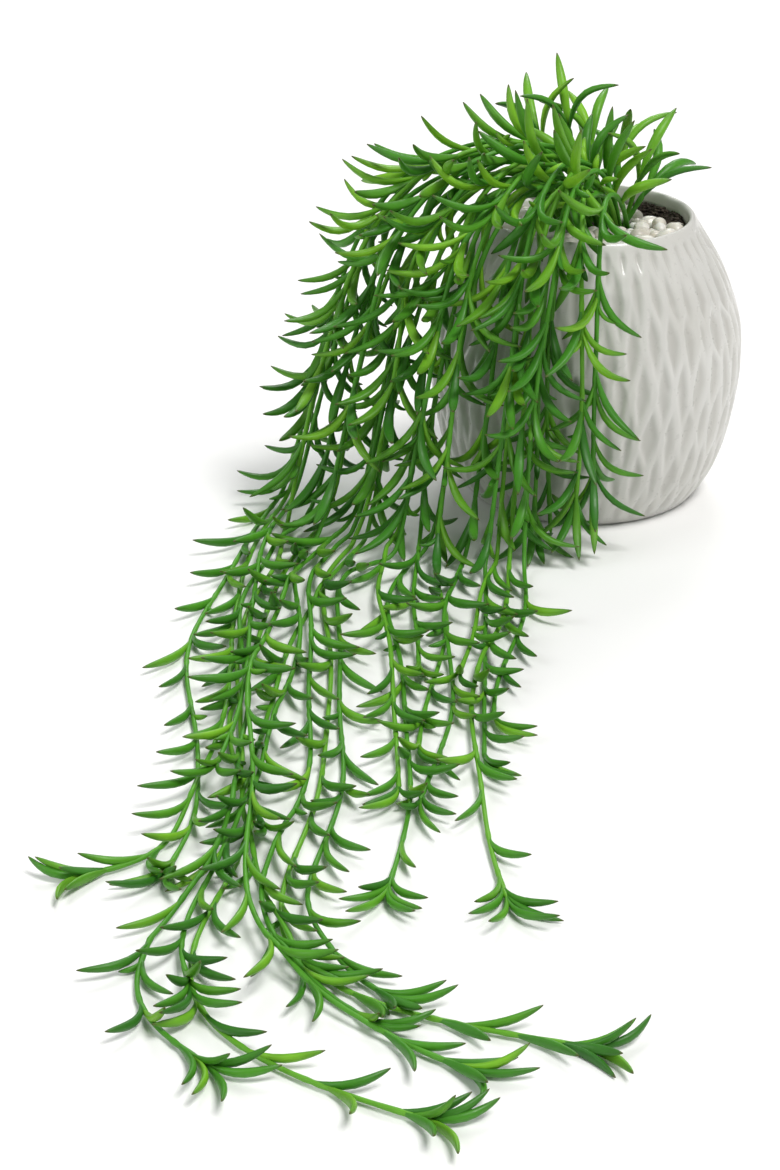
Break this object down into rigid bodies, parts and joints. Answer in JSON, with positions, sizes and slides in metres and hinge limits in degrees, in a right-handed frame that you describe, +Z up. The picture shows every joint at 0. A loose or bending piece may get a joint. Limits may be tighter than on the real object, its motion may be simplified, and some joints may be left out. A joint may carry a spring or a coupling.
{
  "type": "potted string of bananas",
  "caption": "Trailing plant with small crescent leaves on thin stems, spilling over the lip of a barrel-shaped white ribbed pot topped with white pebbles",
  "frame": {"origin": "centre of the pot's flat foot, on the surface that it stands on", "axes": "+Z up; the stems hang over the lip towards -X and -Y and trail along the surface towards -Y, which the camera looks from"},
  "size_m": [0.2595, 0.5278, 0.1759],
  "materials": {
    "glaze": "gloss",
    "soil": "matte",
    "pebbles": "satin",
    "foliage": "satin"
  },
  "bodies": {
    "root": {"pot": "glaze", "soil": "soil", "pebbles": "pebbles", "stem_a1": "foliage", "stem_a2": "foliage", "stem_a3": "foliage", "stem_a4": "foliage", "stem_b1": "foliage", "stem_b2": "foliage", "stem_b3": "foliage", "stem_c1": "foliage", "stem_c2": "foliage", "stem_c3": "foliage", "stem_c4": "foliage", "stem_c5": "foliage", "stem_d1": "foliage", "stem_d2": "foliage", "stem_d3": "foliage", "stem_d4": "foliage", "stem_e1": "foliage", "stem_e2": "foliage", "stem_e3": "foliage", "stem_e4": "foliage", "stem_e5": "foliage", "stem_f1": "foliage", "stem_f2": "foliage", "stem_f3": "foliage", "stem_f4": "foliage", "stem_g1": "foliage", "stem_g2": "foliage", "stem_g3": "foliage", "stem_g4": "foliage", "stem_g5": "foliage", "stem_g6": "foliage"}
  },
  "joints": []
}
